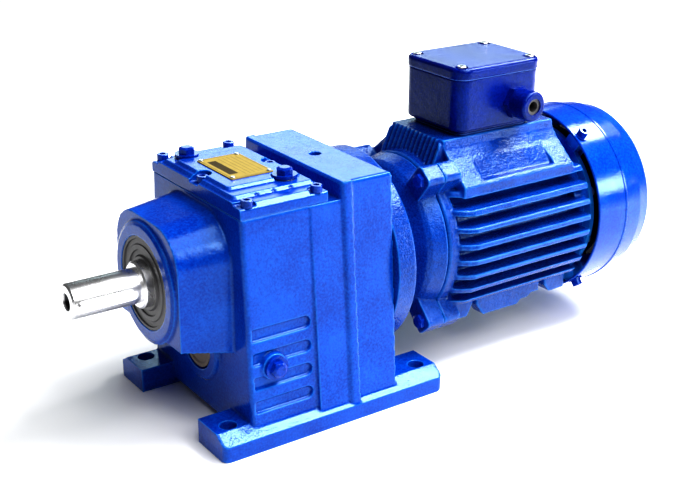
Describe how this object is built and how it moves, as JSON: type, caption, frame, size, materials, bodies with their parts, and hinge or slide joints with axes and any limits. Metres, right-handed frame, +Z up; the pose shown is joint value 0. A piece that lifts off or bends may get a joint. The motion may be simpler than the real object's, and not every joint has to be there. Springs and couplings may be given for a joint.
{
  "type": "inline gear reducer",
  "caption": "Foot-mounted inline helical gear reducer with a keyed output shaft, bolted top cover and a flanged finned motor with terminal box.",
  "frame": {"origin": "centre of the four foot holes, on the plane the feet stand on", "axes": "+Z up; X along the shafts, the output shaft points to -X and the motor lies at +X; +Y completes a right-handed frame"},
  "size_m": [0.584, 0.1941, 0.278],
  "materials": {
    "blue_enamel": "gloss",
    "blue_fasteners": "gloss",
    "ground_steel": "polished",
    "gear_steel": "satin",
    "bearing_steel": "polished",
    "zinc_steel": "satin",
    "raw_casting": "rough",
    "nitrile_rubber": "matte",
    "gasket_paper": "matte",
    "brass_plate": "satin",
    "lamination_steel": "satin",
    "copper_winding": "satin",
    "rotor_aluminium": "satin",
    "black_moulding": "matte",
    "stud_brass": "satin"
  },
  "bodies": {
    "root": {"gear_housing": "blue_enamel", "top_cover": "blue_enamel", "cover_gasket": "gasket_paper", "cover_screws": "blue_fasteners", "breather_plug": "blue_fasteners", "filler_plug": "blue_fasteners", "oil_level_plug": "blue_fasteners", "drain_plug": "blue_fasteners", "plug_washers": "zinc_steel", "nameplate": "brass_plate", "nameplate_rivets": "zinc_steel", "output_oil_seal": "nitrile_rubber", "hub_circlip": "gear_steel", "lay_bore_cap": "raw_casting", "output_front_bearing_outer": "bearing_steel", "output_rear_bearing_outer": "bearing_steel", "lay_bearing_outers": "bearing_steel", "motor_bearing_outers": "bearing_steel", "flange_gasket": "gasket_paper", "flange_end_shield": "blue_enamel", "flange_screws": "blue_fasteners", "input_oil_seal": "nitrile_rubber", "shield_bolts": "blue_fasteners", "motor_frame": "blue_enamel", "stator_core": "lamination_steel", "stator_winding": "copper_winding", "rear_end_shield": "blue_enamel", "rear_shield_screws": "zinc_steel", "fan_cowl": "blue_enamel", "cowl_screws": "blue_fasteners", "terminal_box": "blue_enamel", "terminal_box_gasket": "gasket_paper", "terminal_box_screws": "zinc_steel", "terminal_lid": "blue_enamel", "terminal_lid_gasket": "gasket_paper", "terminal_lid_screws": "zinc_steel", "terminal_block": "black_moulding", "terminal_studs": "stud_brass", "cable_gland": "blue_fasteners", "gland_cap": "blue_fasteners", "gland_seal": "nitrile_rubber"},
    "output": {"output_shaft": "ground_steel", "output_shaft_key": "ground_steel", "output_gear": "gear_steel", "output_gear_key": "gear_steel", "output_spacer_sleeve": "gear_steel", "output_front_bearing_inner": "bearing_steel", "output_rear_bearing_inner": "bearing_steel"},
    "lay": {"lay_pinion_shaft": "gear_steel", "lay_gear": "gear_steel", "lay_gear_key": "gear_steel", "lay_bearing_inners": "bearing_steel"},
    "rotor": {"rotor_shaft": "ground_steel", "motor_pinion": "gear_steel", "rotor_core": "rotor_aluminium", "motor_bearing_inners": "bearing_steel", "cooling_fan": "black_moulding"}
  },
  "joints": [
    {"name": "motor_spin", "type": "hinge", "parent": "root", "child": "rotor", "pos_m": [0.2, 0, 0.11875], "axis": [1, 0, 0], "continuous": true},
    {"name": "lay_spin", "type": "hinge", "parent": "root", "child": "lay", "pos_m": [0, 0, 0.065], "axis": [1, 0, 0], "continuous": true},
    {"name": "output_spin", "type": "hinge", "parent": "root", "child": "output", "pos_m": [-0.1, 0, 0.13], "axis": [1, 0, 0], "continuous": true}
  ],
  "couplings": [
    {"joint": "lay_spin", "follows": "motor_spin", "ratio": -0.26471},
    {"joint": "output_spin", "follows": "motor_spin", "ratio": 0.079412}
  ]
}
